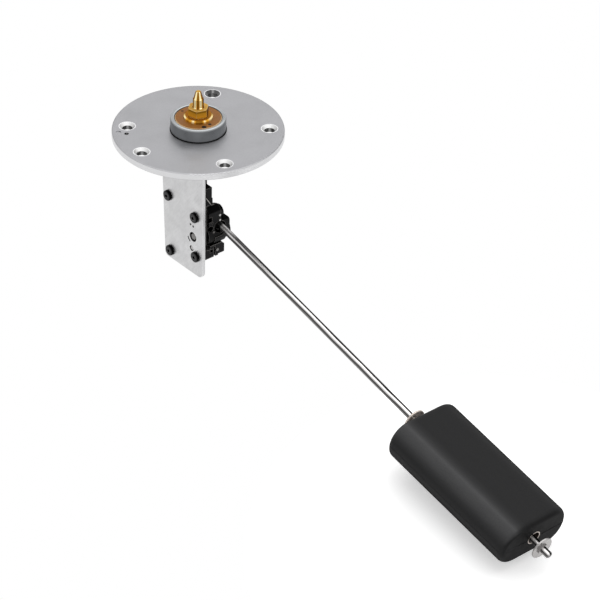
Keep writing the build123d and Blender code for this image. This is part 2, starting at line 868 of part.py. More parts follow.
os.makedirs("parts", exist_ok=True)
for name, build in parts.items():
    export_step(build(), "parts/" + name + ".step")
    print("built", name)
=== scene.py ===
import math

import bpy
from bpy.props import FloatProperty, FloatVectorProperty, PointerProperty
from mathutils import Matrix, Vector


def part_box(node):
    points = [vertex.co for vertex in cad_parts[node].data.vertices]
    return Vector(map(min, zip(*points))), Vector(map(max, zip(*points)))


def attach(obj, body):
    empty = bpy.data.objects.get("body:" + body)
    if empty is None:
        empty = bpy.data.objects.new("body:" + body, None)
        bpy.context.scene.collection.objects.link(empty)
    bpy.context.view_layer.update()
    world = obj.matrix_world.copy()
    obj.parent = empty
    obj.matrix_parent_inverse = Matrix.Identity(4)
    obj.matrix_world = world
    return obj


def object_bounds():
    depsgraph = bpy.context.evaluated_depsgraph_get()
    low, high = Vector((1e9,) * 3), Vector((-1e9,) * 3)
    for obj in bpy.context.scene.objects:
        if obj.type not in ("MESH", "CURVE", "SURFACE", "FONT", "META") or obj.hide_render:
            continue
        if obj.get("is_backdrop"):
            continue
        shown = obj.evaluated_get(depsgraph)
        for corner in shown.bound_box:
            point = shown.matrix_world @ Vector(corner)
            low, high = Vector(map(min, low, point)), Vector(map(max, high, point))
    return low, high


bl_info = {
    "name": "Fuel level sender",
    "version": (1, 0, 0),
    "blender": (4, 5, 0),
    "location": "3D View > Sidebar > Sender",
    "description": "Dresses a tank-top fuel level sender and lights it for a product view",
    "category": "Object",
}

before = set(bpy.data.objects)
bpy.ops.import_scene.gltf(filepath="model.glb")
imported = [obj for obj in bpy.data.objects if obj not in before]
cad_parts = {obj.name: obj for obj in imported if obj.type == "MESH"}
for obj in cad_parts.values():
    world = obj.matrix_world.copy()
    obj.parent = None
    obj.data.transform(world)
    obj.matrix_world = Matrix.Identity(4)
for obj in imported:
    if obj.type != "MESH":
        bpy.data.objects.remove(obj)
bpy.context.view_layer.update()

MM = 0.001

# Sizes and places of the moving pieces; the drops are angles below level.
PIVOT = Vector((6.9, 0.0, -44.4)) * MM
ROD_DROP = math.radians(13.5)
ROD_MARK = Vector((11.75, 2.5, -39.95)) * MM
FLOAT_DROP = math.radians(13.5 - 1.74)
FLOAT_X = 175.9 * MM
FLOAT_HALF_LENGTH = 35.0 * MM
FLOAT_HALF_WIDTH = 17.5 * MM
FLOAT_CORNER = 2.6 * MM
FLOAT_BORE_CLEAR = 3.9 * MM

# Sizes and places of the fixed pieces. Weld places are X and Y in millimetres; a pit has its
# place and radius in millimetres, and the tone in its middle.
FLANGE_TOP = 3.0 * MM
HOLE_CIRCLE = 30.0 * MM
HOLE_ANGLES = (52.5, 130.0, 227.5, 270.0, 343.0)
SHADED_HOLE = 130.0
THREAD_RADIUS = 2.48 * MM
THREAD_ENDS = (-10.0 * MM, -7.25 * MM)
CARD_FACE = -3.9 * MM
# The strip's painted shade behind the tab fades in over this span of Y.
STRIP_SHADE_SPAN = (-3.1 * MM, -2.6 * MM)
WELD_PLACES = ((-9.5, -14.2), (-0.6, -14.2), (8.3, -14.2))
DISC_PITS = (
    ((7.87, -3.15, 8.75), 1.15, 0.0),
    ((7.62, 0.09, 8.75), 0.80, 0.0),
    ((-8.06, -2.23, 8.75), 0.70, 0.25),
)

# The table under the float and the camera's frame.
TABLE_TILT = math.radians(9.0)
TABLE_GAP = 6.0 * MM
TABLE_X = 215.0 * MM
TABLE_RADIUS = 115.0 * MM
TABLE_GLOW = 0.42
FRAME_PIXELS = 600.0
SENSOR_WIDTH = 36.0

# Bright and dark bands painted on the pieces, each a place from 0 to 1 and a tone: painted
# reflections, highlights and shade. Most run round the piece. The lip's follow how far up the
# surface faces, the nut's painted reflections run from its bottom to its top, and the float's
# painted highlight runs across it.
BANDS = {
    "bore": (
        (0.0, 0.30), (0.12, 0.25), (0.24, 0.06), (0.33, 0.08), (0.375, 0.30), (0.40, 0.30),
        (0.44, 0.06), (0.53, 0.06), (0.66, 0.55), (0.80, 0.95), (0.92, 0.9), (1.0, 0.30)),
    "shaded_cone": (
        (0.0, 0.6), (0.12, 0.25), (0.24, 0.10), (0.34, 0.09), (0.375, 0.26), (0.395, 0.26),
        (0.42, 0.07), (0.53, 0.07), (0.66, 0.35), (0.80, 0.9), (0.92, 0.9), (1.0, 0.6)),
    "lit_cone": (
        (0.0, 0.62), (0.12, 0.45), (0.24, 0.62), (0.387, 0.76), (0.50, 0.68), (0.62, 0.50),
        (0.80, 0.72), (1.0, 0.62)),
    "lip_reflection_rings": (
        (0.0, 0.5), (0.25, 0.42), (0.42, 0.5), (0.55, 0.62), (0.66, 0.40), (0.80, 0.75),
        (0.92, 0.62), (1.0, 0.5)),
    "stud": (
        (0.0, 0.5), (0.13, 0.6), (0.17, 0.15), (0.225, 0.10), (0.242, 0.6), (0.265, 1.0),
        (0.320, 1.0), (0.338, 0.55), (0.352, 0.40), (0.37, 0.13), (0.398, 0.13), (0.425, 0.6),
        (0.442, 1.0), (0.50, 1.0), (0.522, 0.4), (0.55, 0.05), (0.64, 0.3), (0.8, 0.7),
        (1.0, 0.5)),
    "nut": (
        (0.0, 0.35), (0.24, 0.45), (0.33, 0.42), (0.36, 0.36), (0.385, 0.18), (0.41, 0.42),
        (0.45, 0.46), (0.48, 0.46), (0.52, 0.3), (0.60, 0.08), (0.8, 0.6), (1.0, 0.35)),
    "nut_height_reflections": (
        (0.0, 0.6), (0.10, 0.8), (0.22, 1.1), (0.45, 0.95), (0.66, 0.85), (0.78, 0.45),
        (0.90, 0.45), (1.0, 1.0)),
    "washer": (
        (0.0, 0.4), (0.13, 0.9), (0.20, 1.0), (0.26, 0.3), (0.30, 0.5), (0.335, 1.0),
        (0.37, 0.25), (0.44, 0.2), (0.465, 0.9), (0.50, 0.5), (0.56, 0.9), (0.66, 0.9),
        (0.8, 0.4), (1.0, 0.4)),
    "rod_root": (
        (0.0, 0.2), (0.05, 0.45), (0.15, 0.5), (0.25, 1.2), (0.35, 0.2), (0.46, 0.7),
        (0.62, 0.3), (0.69, 0.6), (0.745, 1.3), (0.79, 1.2), (0.845, 1.2), (0.862, 2.1),
        (0.905, 2.1), (0.930, 0.7), (0.956, 0.35), (1.0, 0.2)),
    "rod_near": (
        (0.0, 0.3), (0.05, 0.45), (0.15, 0.5), (0.25, 1.2), (0.35, 0.2), (0.46, 0.7),
        (0.60, 0.12), (0.62, 0.05), (0.725, 0.05), (0.765, 0.42), (0.80, 0.28), (0.832, 0.4),
        (0.850, 1.8), (0.885, 2.1), (0.900, 1.2), (0.918, 0.2), (0.94, 0.1), (0.98, 0.1),
        (1.0, 0.3)),
    "rod_far": (
        (0.0, 0.5), (0.05, 0.9), (0.15, 0.5), (0.25, 1.2), (0.35, 0.2), (0.46, 0.7),
        (0.60, 0.12), (0.62, 0.02), (0.760, 0.02), (0.784, 1.9), (0.80, 2.1), (0.838, 1.9),
        (0.872, 1.3), (0.893, 0.7), (0.912, 0.08), (0.935, 0.10), (0.965, 0.3), (1.0, 0.5)),
    "float_painted_highlight": (
        (0.0, 1.0), (0.06, 1.0), (0.136, 1.5), (0.232, 2.3), (0.324, 2.7), (0.44, 2.9),
        (0.556, 3.3), (0.68, 2.0), (0.752, 1.6), (0.832, 1.27), (1.0, 1.0)),
}


# ---- sizes and colours ----

class SenderDetail(bpy.types.PropertyGroup):
    """Sizes of the fine pieces"""
    thread_pitch: FloatProperty(
        name="Stud thread pitch", description="Pitch of the thread on the stud's lower end",
        default=0.8 * MM, unit="LENGTH", precision=5)
    thread_height: FloatProperty(
        name="Stud thread height", description="How far the thread stands out of the stud",
        default=0.14 * MM, unit="LENGTH", precision=5)
    track_height: FloatProperty(
        name="Track height", description="Thickness of the printed tracks on the card",
        default=0.02 * MM, unit="LENGTH", precision=5)
    bead_radius: FloatProperty(
        name="Parting bead", description="Radius of the bead along the float's parting line",
        default=0.16 * MM, unit="LENGTH", precision=5)
    weld_radius: FloatProperty(
        name="Weld spot", description="Radius of each weld spot under the bracket's foot",
        default=1.7 * MM, unit="LENGTH", precision=5)


class SenderFinish(bpy.types.PropertyGroup):
    """Colours of the finishes"""
    flange_grey: FloatVectorProperty(
        name="Flange", description="Tumbled aluminium of the flange",
        default=(0.32, 0.32, 0.332), subtype="COLOR", min=0, max=1)
    edge_grey: FloatVectorProperty(
        name="Turned edge", description="Bright turned rim and countersinks of the flange",
        default=(0.70, 0.70, 0.71), subtype="COLOR", min=0, max=1)
    plate_grey: FloatVectorProperty(
        name="Plate", description="Plated sheet of the bracket",
        default=(0.60, 0.60, 0.605), subtype="COLOR", min=0, max=1)
    collar_grey: FloatVectorProperty(
        name="Collar", description="Zinc-plated terminal cup",
        default=(0.30, 0.312, 0.32), subtype="COLOR", min=0, max=1)
    disc_brown: FloatVectorProperty(
        name="Disc", description="Laminate of the insulating disc",
        default=(0.285, 0.116, 0.02), subtype="COLOR", min=0, max=1)
    brass_gold: FloatVectorProperty(
        name="Brass", description="Brass of the stud, nuts and washer",
        default=(0.60, 0.36, 0.075), subtype="COLOR", min=0, max=1)
    moulded_black: FloatVectorProperty(
        name="Moulding", description="Black plastic of the housing and rotor",
        default=(0.0175, 0.0175, 0.018), subtype="COLOR", min=0, max=1)
    float_black: FloatVectorProperty(
        name="Float", description="Skin of the float",
        default=(0.023, 0.023, 0.0235), subtype="COLOR", min=0, max=1)
    steel_grey: FloatVectorProperty(
        name="Steel", description="Bright steel of the rod, pins and springs",
        default=(0.46, 0.45, 0.445), subtype="COLOR", min=0, max=1)


class SenderView(bpy.types.PropertyGroup):
    """Camera and lamps"""
    azimuth: FloatProperty(
        name="Azimuth", description="Turn of the camera about the upright axis",
        default=math.radians(49.286), unit="ROTATION")
    elevation: FloatProperty(
        name="Elevation", description="Height angle of the camera",
        default=math.radians(34.155), unit="ROTATION")
    roll: FloatProperty(
        name="Roll", description="Roll of the camera about its line of sight",
        default=math.radians(1.37), unit="ROTATION")
    distance: FloatProperty(
        name="Distance", description="Distance from the flange's centre along the line of sight",
        default=1.263248, unit="LENGTH")
    lens: FloatProperty(
        name="Lens", description="Focal length of the camera in millimetres", default=180.0)
    origin_pixel: FloatVectorProperty(
        name="Centre in the frame",
        description="Where the flange's top centre lies in the frame, in pixels",
        default=(198.308, 128.809), size=2)
    key_strength: FloatProperty(
        name="Key lamp", description="Strength of the soft overhead lamp", default=1.3, min=0)
    fill_strength: FloatProperty(
        name="Side lamp", description="Strength of the soft side lamp", default=0.08, min=0)
    world_strength: FloatProperty(
        name="Surroundings", description="Strength of the plain surroundings", default=0.62, min=0)


# ---- materials ----

# Sockets of a mix node that is set to colours.
MIX_FACTOR, MIX_FIRST, MIX_SECOND, MIX_RESULT = 0, 6, 7, 2


def node(tree, kind, **values):
    """New shader node with its properties and unlinked inputs set."""
    made = tree.nodes.new(kind)
    for key, value in values.items():
        if key in made.inputs:
            made.inputs[key].default_value = value
        else:
            setattr(made, key, value)
    return made


def put(tree, value, target):
    """Links a socket to an input, or sets the input to a number or colour."""
    if isinstance(value, bpy.types.NodeSocket):
        tree.links.new(value, target)
    elif isinstance(value, (int, float)):
        target.default_value = value
    else:
        target.default_value = (*value, 1.0)


def feed(tree, shader, **sources):
    """Links sockets to the shader's inputs; an underscore stands for a space."""
    for key, source in sources.items():
        tree.links.new(source, shader.inputs[key.replace("_", " ")])


def maths(tree, operation, first, second=None):
    """Result of one step of sums on sockets or numbers."""
    made = node(tree, "ShaderNodeMath", operation=operation)
    put(tree, first, made.inputs[0])
    if second is not None:
        put(tree, second, made.inputs[1])
    return made.outputs[0]


def split(tree, vector):
    """X, Y and Z of a vector."""
    made = node(tree, "ShaderNodeSeparateXYZ")
    tree.links.new(vector, made.inputs["Vector"])
    return made.outputs["X"], made.outputs["Y"], made.outputs["Z"]


def ranged(tree, value, low, high, start=0.3, end=0.7):
    """Value carried from the span start to end over to the span low to high."""
    made = node(tree, "ShaderNodeMapRange", **{
        "From Min": start, "From Max": end, "To Min": low, "To Max": high})
    tree.links.new(value, made.inputs["Value"])
    return made.outputs["Result"]


def blended(tree, factor, first, second, mode="MIX"):
    """Mix of two colours, each plain or from a socket."""
    made = node(tree, "ShaderNodeMix", data_type="RGBA", blend_type=mode)
    for index, value in ((MIX_FACTOR, factor), (MIX_FIRST, first), (MIX_SECOND, second)):
        put(tree, value, made.inputs[index])
    return made.outputs[MIX_RESULT]


def shaded(tree, colour, factor):
    """Colour multiplied by a grey factor."""
    return blended(tree, 1.0, colour, factor, "MULTIPLY")


def banded(tree, share, name):
    """Grey ramp from one of the lists in BANDS."""
    ramp = node(tree, "ShaderNodeValToRGB")
    tree.links.new(share, ramp.inputs["Fac"])
    marks = ramp.color_ramp.elements
    marks.remove(marks[-1])
    for index, (position, tone) in enumerate(BANDS[name]):
        mark = marks.new(position) if index else marks[0]
        mark.position = position
        mark.color = (tone, tone, tone, 1)
    return ramp.outputs["Color"]


def coordinates(tree, kind="Object"):
    """Place on the object, or with the kind Normal the way its surface faces."""
    return node(tree, "ShaderNodeTexCoord").outputs[kind]


def object_mapping(tree, stretch=(1, 1, 1), turn=(0, 0, 0)):
    """Object coordinates, turned and then stretched."""
    vector = coordinates(tree)
    for field, value in (("Rotation", turn), ("Scale", stretch)):
        made = node(tree, "ShaderNodeMapping", **{field: value})
        tree.links.new(vector, made.inputs["Vector"])
        vector = made.outputs["Vector"]
    return vector


def noise(tree, vector, size_mm, detail=3.0, roughness=0.55):
    """Noise whose features are about the given size."""
    made = node(tree, "ShaderNodeTexNoise", Scale=1.0 / (size_mm * MM), Detail=detail,
                Roughness=roughness)
    tree.links.new(vector, made.inputs["Vector"])
    return made.outputs["Fac"]


def point_distance(tree, point):
    """Distance from a point of the object."""
    made = node(tree, "ShaderNodeVectorMath", operation="DISTANCE")
    made.inputs[1].default_value = point
    tree.links.new(coordinates(tree), made.inputs[0])
    return made.outputs["Value"]


def axis_distance(tree):
    """Distance from the Z axis."""
    flat = node(tree, "ShaderNodeVectorMath", operation="MULTIPLY")
    flat.inputs[1].default_value = (1, 1, 0)
    tree.links.new(coordinates(tree), flat.inputs[0])
    reach = node(tree, "ShaderNodeVectorMath", operation="LENGTH")
    tree.links.new(flat.outputs[0], reach.inputs[0])
    return reach.outputs["Value"]


def facing_angle(tree):
    """Way the surface faces round the Z axis, from 0 to 1, and how far up it faces."""
    shape = node(tree, "ShaderNodeNewGeometry")
    x, y, level = split(tree, shape.outputs["Normal"])
    angle = maths(tree, "ARCTAN2", y, x)
    return ranged(tree, angle, 0.0, 1.0, -math.pi, math.pi), level


def grazing(tree, low, high, start, end):
    """Painted shade towards the outline of a round piece."""
    rim = node(tree, "ShaderNodeLayerWeight", Blend=0.5)
    return ranged(tree, rim.outputs["Facing"], low, high, start, end)


def edge_mask(tree, radius_mm):
    """One along sharp edges and nought on open faces."""
    rounded = node(tree, "ShaderNodeBevel", samples=6, Radius=radius_mm * MM)
    shape = node(tree, "ShaderNodeNewGeometry")
    match = node(tree, "ShaderNodeVectorMath", operation="DOT_PRODUCT")
    tree.links.new(rounded.outputs["Normal"], match.inputs[0])
    tree.links.new(shape.outputs["Normal"], match.inputs[1])
    return ranged(tree, match.outputs["Value"], 1.0, 0.0, 0.84, 0.985)


def surface(name, metallic, gloss=0.5):
    """New material with its tree and main shader."""
    made = bpy.data.materials.new(name)
    made.use_nodes = True
    tree = made.node_tree
    shader = tree.nodes["Principled BSDF"]
    shader.inputs["Metallic"].default_value = metallic
    shader.inputs["Specular IOR Level"].default_value = gloss
    return made, tree, shader


def reopened(made):
    """Tree, main shader and present colour of a material made before."""
    tree = made.node_tree
    shader = tree.nodes["Principled BSDF"]
    return tree, shader, shader.inputs["Base Color"].links[0].from_socket


def bump(tree, shader, height, depth_mm, strength=1.0, after=None):
    """Bump of the given depth on the shader, on top of an earlier one if there is one."""
    made = node(tree, "ShaderNodeBump", Strength=strength, Distance=depth_mm * MM)
    tree.links.new(height, made.inputs["Height"])
    if after is not None:
        tree.links.new(after, made.inputs["Normal"])
    feed(tree, shader, Normal=made.outputs["Normal"])
    return made.outputs["Normal"]


def grained_metal(name, colour, rough=(0.35, 0.5), grain=0.35, mottle=9.0, depth=0.012,
                  contrast=0.07, metallic=1.0):
    """Satin metal with a fine grain and faint cloudy patches."""
    made, tree, shader = surface(name, metallic)
    place = object_mapping(tree)
    fine = noise(tree, place, grain, 4.0, 0.7)
    cloud = noise(tree, place, mottle)
    grained = shaded(tree, colour, ranged(tree, fine, 1.0 - contrast, 1.0 + contrast * 0.6))
    clouded = shaded(tree, grained, ranged(tree, cloud, 0.94, 1.04))
    feed(tree, shader, Base_Color=clouded, Roughness=ranged(tree, cloud, *rough))
    bump(tree, shader, fine, depth)
    return made


def brushed_metal(name, colour, stretch, rough):
    """Metal with fine lines drawn along one axis."""
    made, tree, shader = surface(name, 1.0)
    lines = noise(tree, object_mapping(tree, stretch), 0.12, 5.0, 0.75)
    cloud = noise(tree, object_mapping(tree), 6.0, 4.0, 0.6)
    lined = shaded(tree, colour, ranged(tree, lines, 0.90, 1.06))
    clouded = shaded(tree, lined, ranged(tree, cloud, 0.93, 1.05))
    feed(tree, shader, Base_Color=clouded, Roughness=ranged(tree, lines, *rough))
    bump(tree, shader, lines, 0.004)
    return made


def turned_edge(made, colour):
    """Bright turned rim, a painted highlight ring round each hole, and painted light and shade in
    the holes.
    """
    tree, shader, top = reopened(made)
    shape = node(tree, "ShaderNodeNewGeometry")
    level = maths(tree, "ABSOLUTE", split(tree, shape.outputs["True Normal"])[2])
    lines = noise(tree, object_mapping(tree, (0.2, 0.2, 6.0)), 0.6, 4.0, 0.7)
    bright = shaded(tree, colour, ranged(tree, lines, 0.9, 1.04))
    mixed = blended(tree, ranged(tree, level, 1.0, 0.0, 0.25, 0.9), top, bright)
    away = {}
    for angle in HOLE_ANGLES:
        turn = math.radians(angle)
        away[angle] = point_distance(tree, (
            HOLE_CIRCLE * math.cos(turn), HOLE_CIRCLE * math.sin(turn), FLANGE_TOP))
    nearest = away[HOLE_ANGLES[0]]
    for angle in HOLE_ANGLES[1:]:
        nearest = maths(tree, "MINIMUM", nearest, away[angle])
    # Painted highlight: a bright ring round the edge of each hole.
    rim_highlight = ranged(tree, nearest, 1.0, 0.0, 3.52 * MM, 3.75 * MM)
    mixed = blended(tree, rim_highlight, mixed, (0.72, 0.72, 0.73))
    # Painted light and shade in the countersinks and bores, darker in the hole that lies in shade.
    share, height = facing_angle(tree)
    in_shade = ranged(tree, away[SHADED_HOLE], 1.0, 0.0, 5.0 * MM, 5.5 * MM)
    cone = blended(tree, in_shade, banded(tree, share, "lit_cone"),
                   banded(tree, share, "shaded_cone"))
    wall = blended(tree, ranged(tree, height, 0.0, 1.0, 0.3, 0.5),
                   banded(tree, share, "bore"), cone)
    inside = maths(tree, "MULTIPLY",
                   ranged(tree, axis_distance(tree), 1.0, 0.0, 33.4 * MM, 33.7 * MM),
                   ranged(tree, level, 1.0, 0.0, 0.85, 0.95))
    feed(tree, shader, Base_Color=blended(tree, inside, mixed, wall))


def rolled_lip(made):
    """Painted reflection rings round the cup's lip, and painted shade inside the cup."""
    tree, shader, colour = reopened(made)
    rings = banded(tree, facing_angle(tree)[1], "lip_reflection_rings")
    ringed = shaded(tree, colour, ranged(tree, rings, 0.0, 2.0, 0.0, 1.0))
    # Painted shade inside the cup.
    inner = ranged(tree, axis_distance(tree), 0.25, 1.0, 10.1 * MM, 10.3 * MM)
    feed(tree, shader, Base_Color=shaded(tree, ringed, inner))


def scuffed_sheet(made):
    """Faint slanting scuffs on the sheet, and a painted highlight along its cut edges."""
    tree, shader, colour = reopened(made)
    slant = object_mapping(tree, (1.0, 1.0, 0.12), (0, math.radians(-38), 0))
    scuffs = noise(tree, slant, 0.7, 5.0, 0.75)
    cloud = noise(tree, object_mapping(tree), 6.0)
    scuffed = shaded(tree, colour, ranged(tree, scuffs, 0.95, 1.03, 0.35, 0.55))
    clouded = shaded(tree, scuffed, ranged(tree, cloud, 0.98, 1.02))
    feed(tree, shader,
         Base_Color=blended(tree, edge_mask(tree, 0.35), clouded, (0.95, 0.95, 0.95)))


def painted_flank_shade(made):
    """Painted shade on the sides of the screw heads, and a painted highlight round their tops."""
    tree, shader, colour = reopened(made)
    outward = split(tree, coordinates(tree, "Normal"))[1]
    rimmed = blended(tree, edge_mask(tree, 0.3), colour, (0.30, 0.30, 0.31))
    sided = shaded(tree, rimmed, ranged(tree, outward, 1.0, 0.12, -0.93, -0.6))
    feed(tree, shader, Base_Color=sided,
         Specular_IOR_Level=ranged(tree, outward, 0.3, 0.02, -0.93, -0.6))


def strip_painted_shade(made):
    """Painted shade on the part of the strip that lies behind the tab."""
    tree, shader, colour = reopened(made)
    behind_tab_shade = ranged(tree, split(tree, coordinates(tree))[1], 1.0, 0.25, *STRIP_SHADE_SPAN)
    feed(tree, shader, Base_Color=shaded(tree, colour, behind_tab_shade))


def drawn_rod(name, colour):
    """Drawn steel wire with fine lines, painted reflections as dark and bright bands along it, and
    painted shade at its root.
    """
    made, tree, shader = surface(name, 0.6, 0.2)
    shader.inputs["Specular Tint"].default_value = (0.15, 0.15, 0.15, 1)
    y, z = split(tree, object_mapping(tree, turn=(0, -ROD_DROP, 0)))[1:]
    level = maths(tree, "SUBTRACT", z, rod_point(0.0).z * math.cos(ROD_DROP))
    aside = maths(tree, "SUBTRACT", y, ROD_MARK.y)
    drift = noise(tree, object_mapping(tree, (0.05, 0.05, 0.05)), 1.0, 2.0)
    around = maths(tree, "ADD", maths(tree, "ARCTAN2", level, aside),
                   ranged(tree, drift, -0.12, 0.12))
    share = ranged(tree, around, 0.0, 1.0, -math.pi, math.pi)
    x = split(tree, coordinates(tree))[0]
    near = blended(tree, ranged(tree, x, 0.0, 1.0, 18.5 * MM, 23.5 * MM),
                   banded(tree, share, "rod_root"), banded(tree, share, "rod_near"))
    reflection_bands = blended(tree, ranged(tree, x, 0.0, 1.0, 30.0 * MM, 42.0 * MM),
                      near, banded(tree, share, "rod_far"))
    lines = noise(tree, object_mapping(tree, (0.01, 1.0, 1.0), (0, -ROD_DROP, 0)), 0.5, 5.0, 0.75)
    toned = shaded(tree, colour, reflection_bands)
    lined = shaded(tree, toned, ranged(tree, lines, 0.86, 1.08))
    # Painted shade at the rod's root, where it goes into the rotor.
    socket = ranged(tree, x, 0.06, 1.0, 13.3 * MM, 14.3 * MM)
    feed(tree, shader, Base_Color=shaded(tree, lined, socket),
         Roughness=ranged(tree, lines, 0.14, 0.28))
    bump(tree, shader, lines, 0.002)
    return made


def brass_bands(tree, shader, top, bands, rise, metallic):
    """Painted reflections as bright and dark bands round the sides of a brass piece, painted shade
    towards its outline, and a plain top.
    """
    # Colours of the painted highlight, the brass between, and the painted dark reflection.
    light, clean, dark = (1.0, 0.90, 0.52), (0.82, 0.39, 0.03), (0.11, 0.03, 0.003)
    share, level = facing_angle(tree)
    reflection_bands = banded(tree, share, bands)
    low = blended(tree, ranged(tree, reflection_bands, 0.0, 1.0, 0.1, 0.5), dark, clean)
    streaked = blended(tree, ranged(tree, reflection_bands, 0.0, 1.0, 0.6, 1.0), low, light)
    sides = shaded(tree, streaked, grazing(tree, 1.0, 0.25, 0.55, 0.85))
    # Painted reflections up the nut's sides.
    if rise:
        bottom, summit = (corner[2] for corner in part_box("terminal_nut"))
        height = ranged(tree, split(tree, coordinates(tree))[2], 0.0, 1.0, bottom, summit)
        sides = shaded(tree, sides, banded(tree, height, rise))
    shader.inputs["Specular Tint"].default_value = (1.0, 0.72, 0.3, 1)
    mirror = maths(tree, "MULTIPLY", ranged(tree, reflection_bands, 0.0, 1.0, 0.6, 0.9),
                   ranged(tree, level, 0.0, 1.0, 0.12, 0.25))
    feed(tree, shader, Metallic=ranged(tree, mirror, metallic, 0.9, 0.0, 1.0))
    return blended(tree, ranged(tree, level, 0.0, 1.0, 0.8, 0.95), sides, top)


def tarnished_brass(name, colour, bands=None, rise=None, top=None, edge_highlight_mm=0.0, metallic=0.12):
    """Polished brass with warmer tarnish patches, painted reflection bands if their names are
    given, and a painted edge highlight.
    """
    made, tree, shader = surface(name, metallic, 0.06)
    place = object_mapping(tree)
    patch = noise(tree, place, 2.2, 4.0, 0.6)
    fine = noise(tree, place, 0.18, 3.0, 0.7)
    warm = (colour[0] * 0.80, colour[1] * 0.66, colour[2] * 0.5)
    mixed = blended(tree, ranged(tree, patch, 0.0, 0.7, 0.42, 0.72), colour, warm)
    if bands:
        mixed = brass_bands(tree, shader, top or mixed, bands, rise, metallic)
    if edge_highlight_mm:
        mixed = blended(tree, edge_mask(tree, edge_highlight_mm), mixed, (1.0, 0.82, 0.45))
    feed(tree, shader, Base_Color=shaded(tree, mixed, ranged(tree, fine, 0.94, 1.04)),
         Roughness=ranged(tree, patch, 0.16, 0.28))
    bump(tree, shader, fine, 0.0003)
    return made


def laminate(name, colour):
    """Matt paper laminate with fibres, small dark pits and a paler rim."""
    made, tree, shader = surface(name, 0.0, 0.2)
    fibres = noise(tree, object_mapping(tree, (1.0, 0.18, 1.0)), 0.35, 5.0, 0.75)
    cloud = noise(tree, object_mapping(tree), 4.0)
    dark = (colour[0] * 0.72, colour[1] * 0.66, colour[2] * 0.6)
    mixed = blended(tree, ranged(tree, fibres, 0.0, 1.0, 0.35, 0.75), colour, dark)
    toned = shaded(tree, mixed, ranged(tree, cloud, 0.92, 1.08))
    for spot, radius, tone in DISC_PITS:
        reach = point_distance(tree, Vector(spot) * MM)
        toned = shaded(tree, toned, ranged(
            tree, reach, tone, 1.0, radius * 0.8 * MM, radius * MM))
    rim = ranged(tree, facing_angle(tree)[1], 1.0, 0.0, 0.8, 0.95)
    feed(tree, shader, Base_Color=blended(tree, rim, toned, (0.75, 0.52, 0.28)),
         Roughness=ranged(tree, cloud, 0.42, 0.6))
    bump(tree, shader, fibres, 0.01)
    return made


def moulding(name, colour, rough=(0.38, 0.55), grain=0.22, depth=0.005, metallic=0.0, gloss=0.04):
    """Moulded plastic or rubber with a fine spark-eroded texture."""
    made, tree, shader = surface(name, metallic, gloss)
    place = object_mapping(tree)
    fine = noise(tree, place, grain, 4.0, 0.65)
    cloud = noise(tree, place, 5.0)
    toned = shaded(tree, colour, ranged(tree, fine, 0.8, 1.25))
    clouded = shaded(tree, toned, ranged(tree, cloud, 0.88, 1.12))
    feed(tree, shader, Base_Color=clouded, Roughness=ranged(tree, cloud, *rough))
    bump(tree, shader, fine, depth)
    return made


def painted_edge_light_and_shade(made, radius_mm, highlight_colour, depth_mm):
    """Painted highlight on outer edges, painted shade in corners, and painted shade on faces
    turned from the light, on moulded plastic.
    """
    tree, shader, colour = reopened(made)
    # Painted shade in corners and recesses, from how open the surface is.
    shelter = node(tree, "ShaderNodeAmbientOcclusion", samples=8, Distance=depth_mm * MM)
    open_to_air = shelter.outputs["AO"]
    outer = maths(tree, "MULTIPLY", edge_mask(tree, radius_mm),
                  ranged(tree, open_to_air, 0.0, 1.0, 0.45, 0.75))
    lit = blended(tree, outer, colour, highlight_colour)
    deep = shaded(tree, lit, ranged(tree, open_to_air, 0.12, 1.0, 0.30, 0.85))
    # Painted shade on faces that don't face along X or towards +Y.
    x, y, _ = split(tree, coordinates(tree, "Normal"))
    turned = ranged(tree, x, 0.16, 1.0, 0.70, 0.93)
    for back in (ranged(tree, y, 0.16, 1.0, 0.3, 0.7), ranged(tree, x, 1.0, 0.16, -0.7, -0.3)):
        turned = maths(tree, "MAXIMUM", turned, back)
    shine = maths(tree, "MULTIPLY", ranged(tree, open_to_air, 0.0, 0.045, 0.35, 0.9), turned)
    feed(tree, shader, Base_Color=shaded(tree, deep, turned), Specular_IOR_Level=shine)


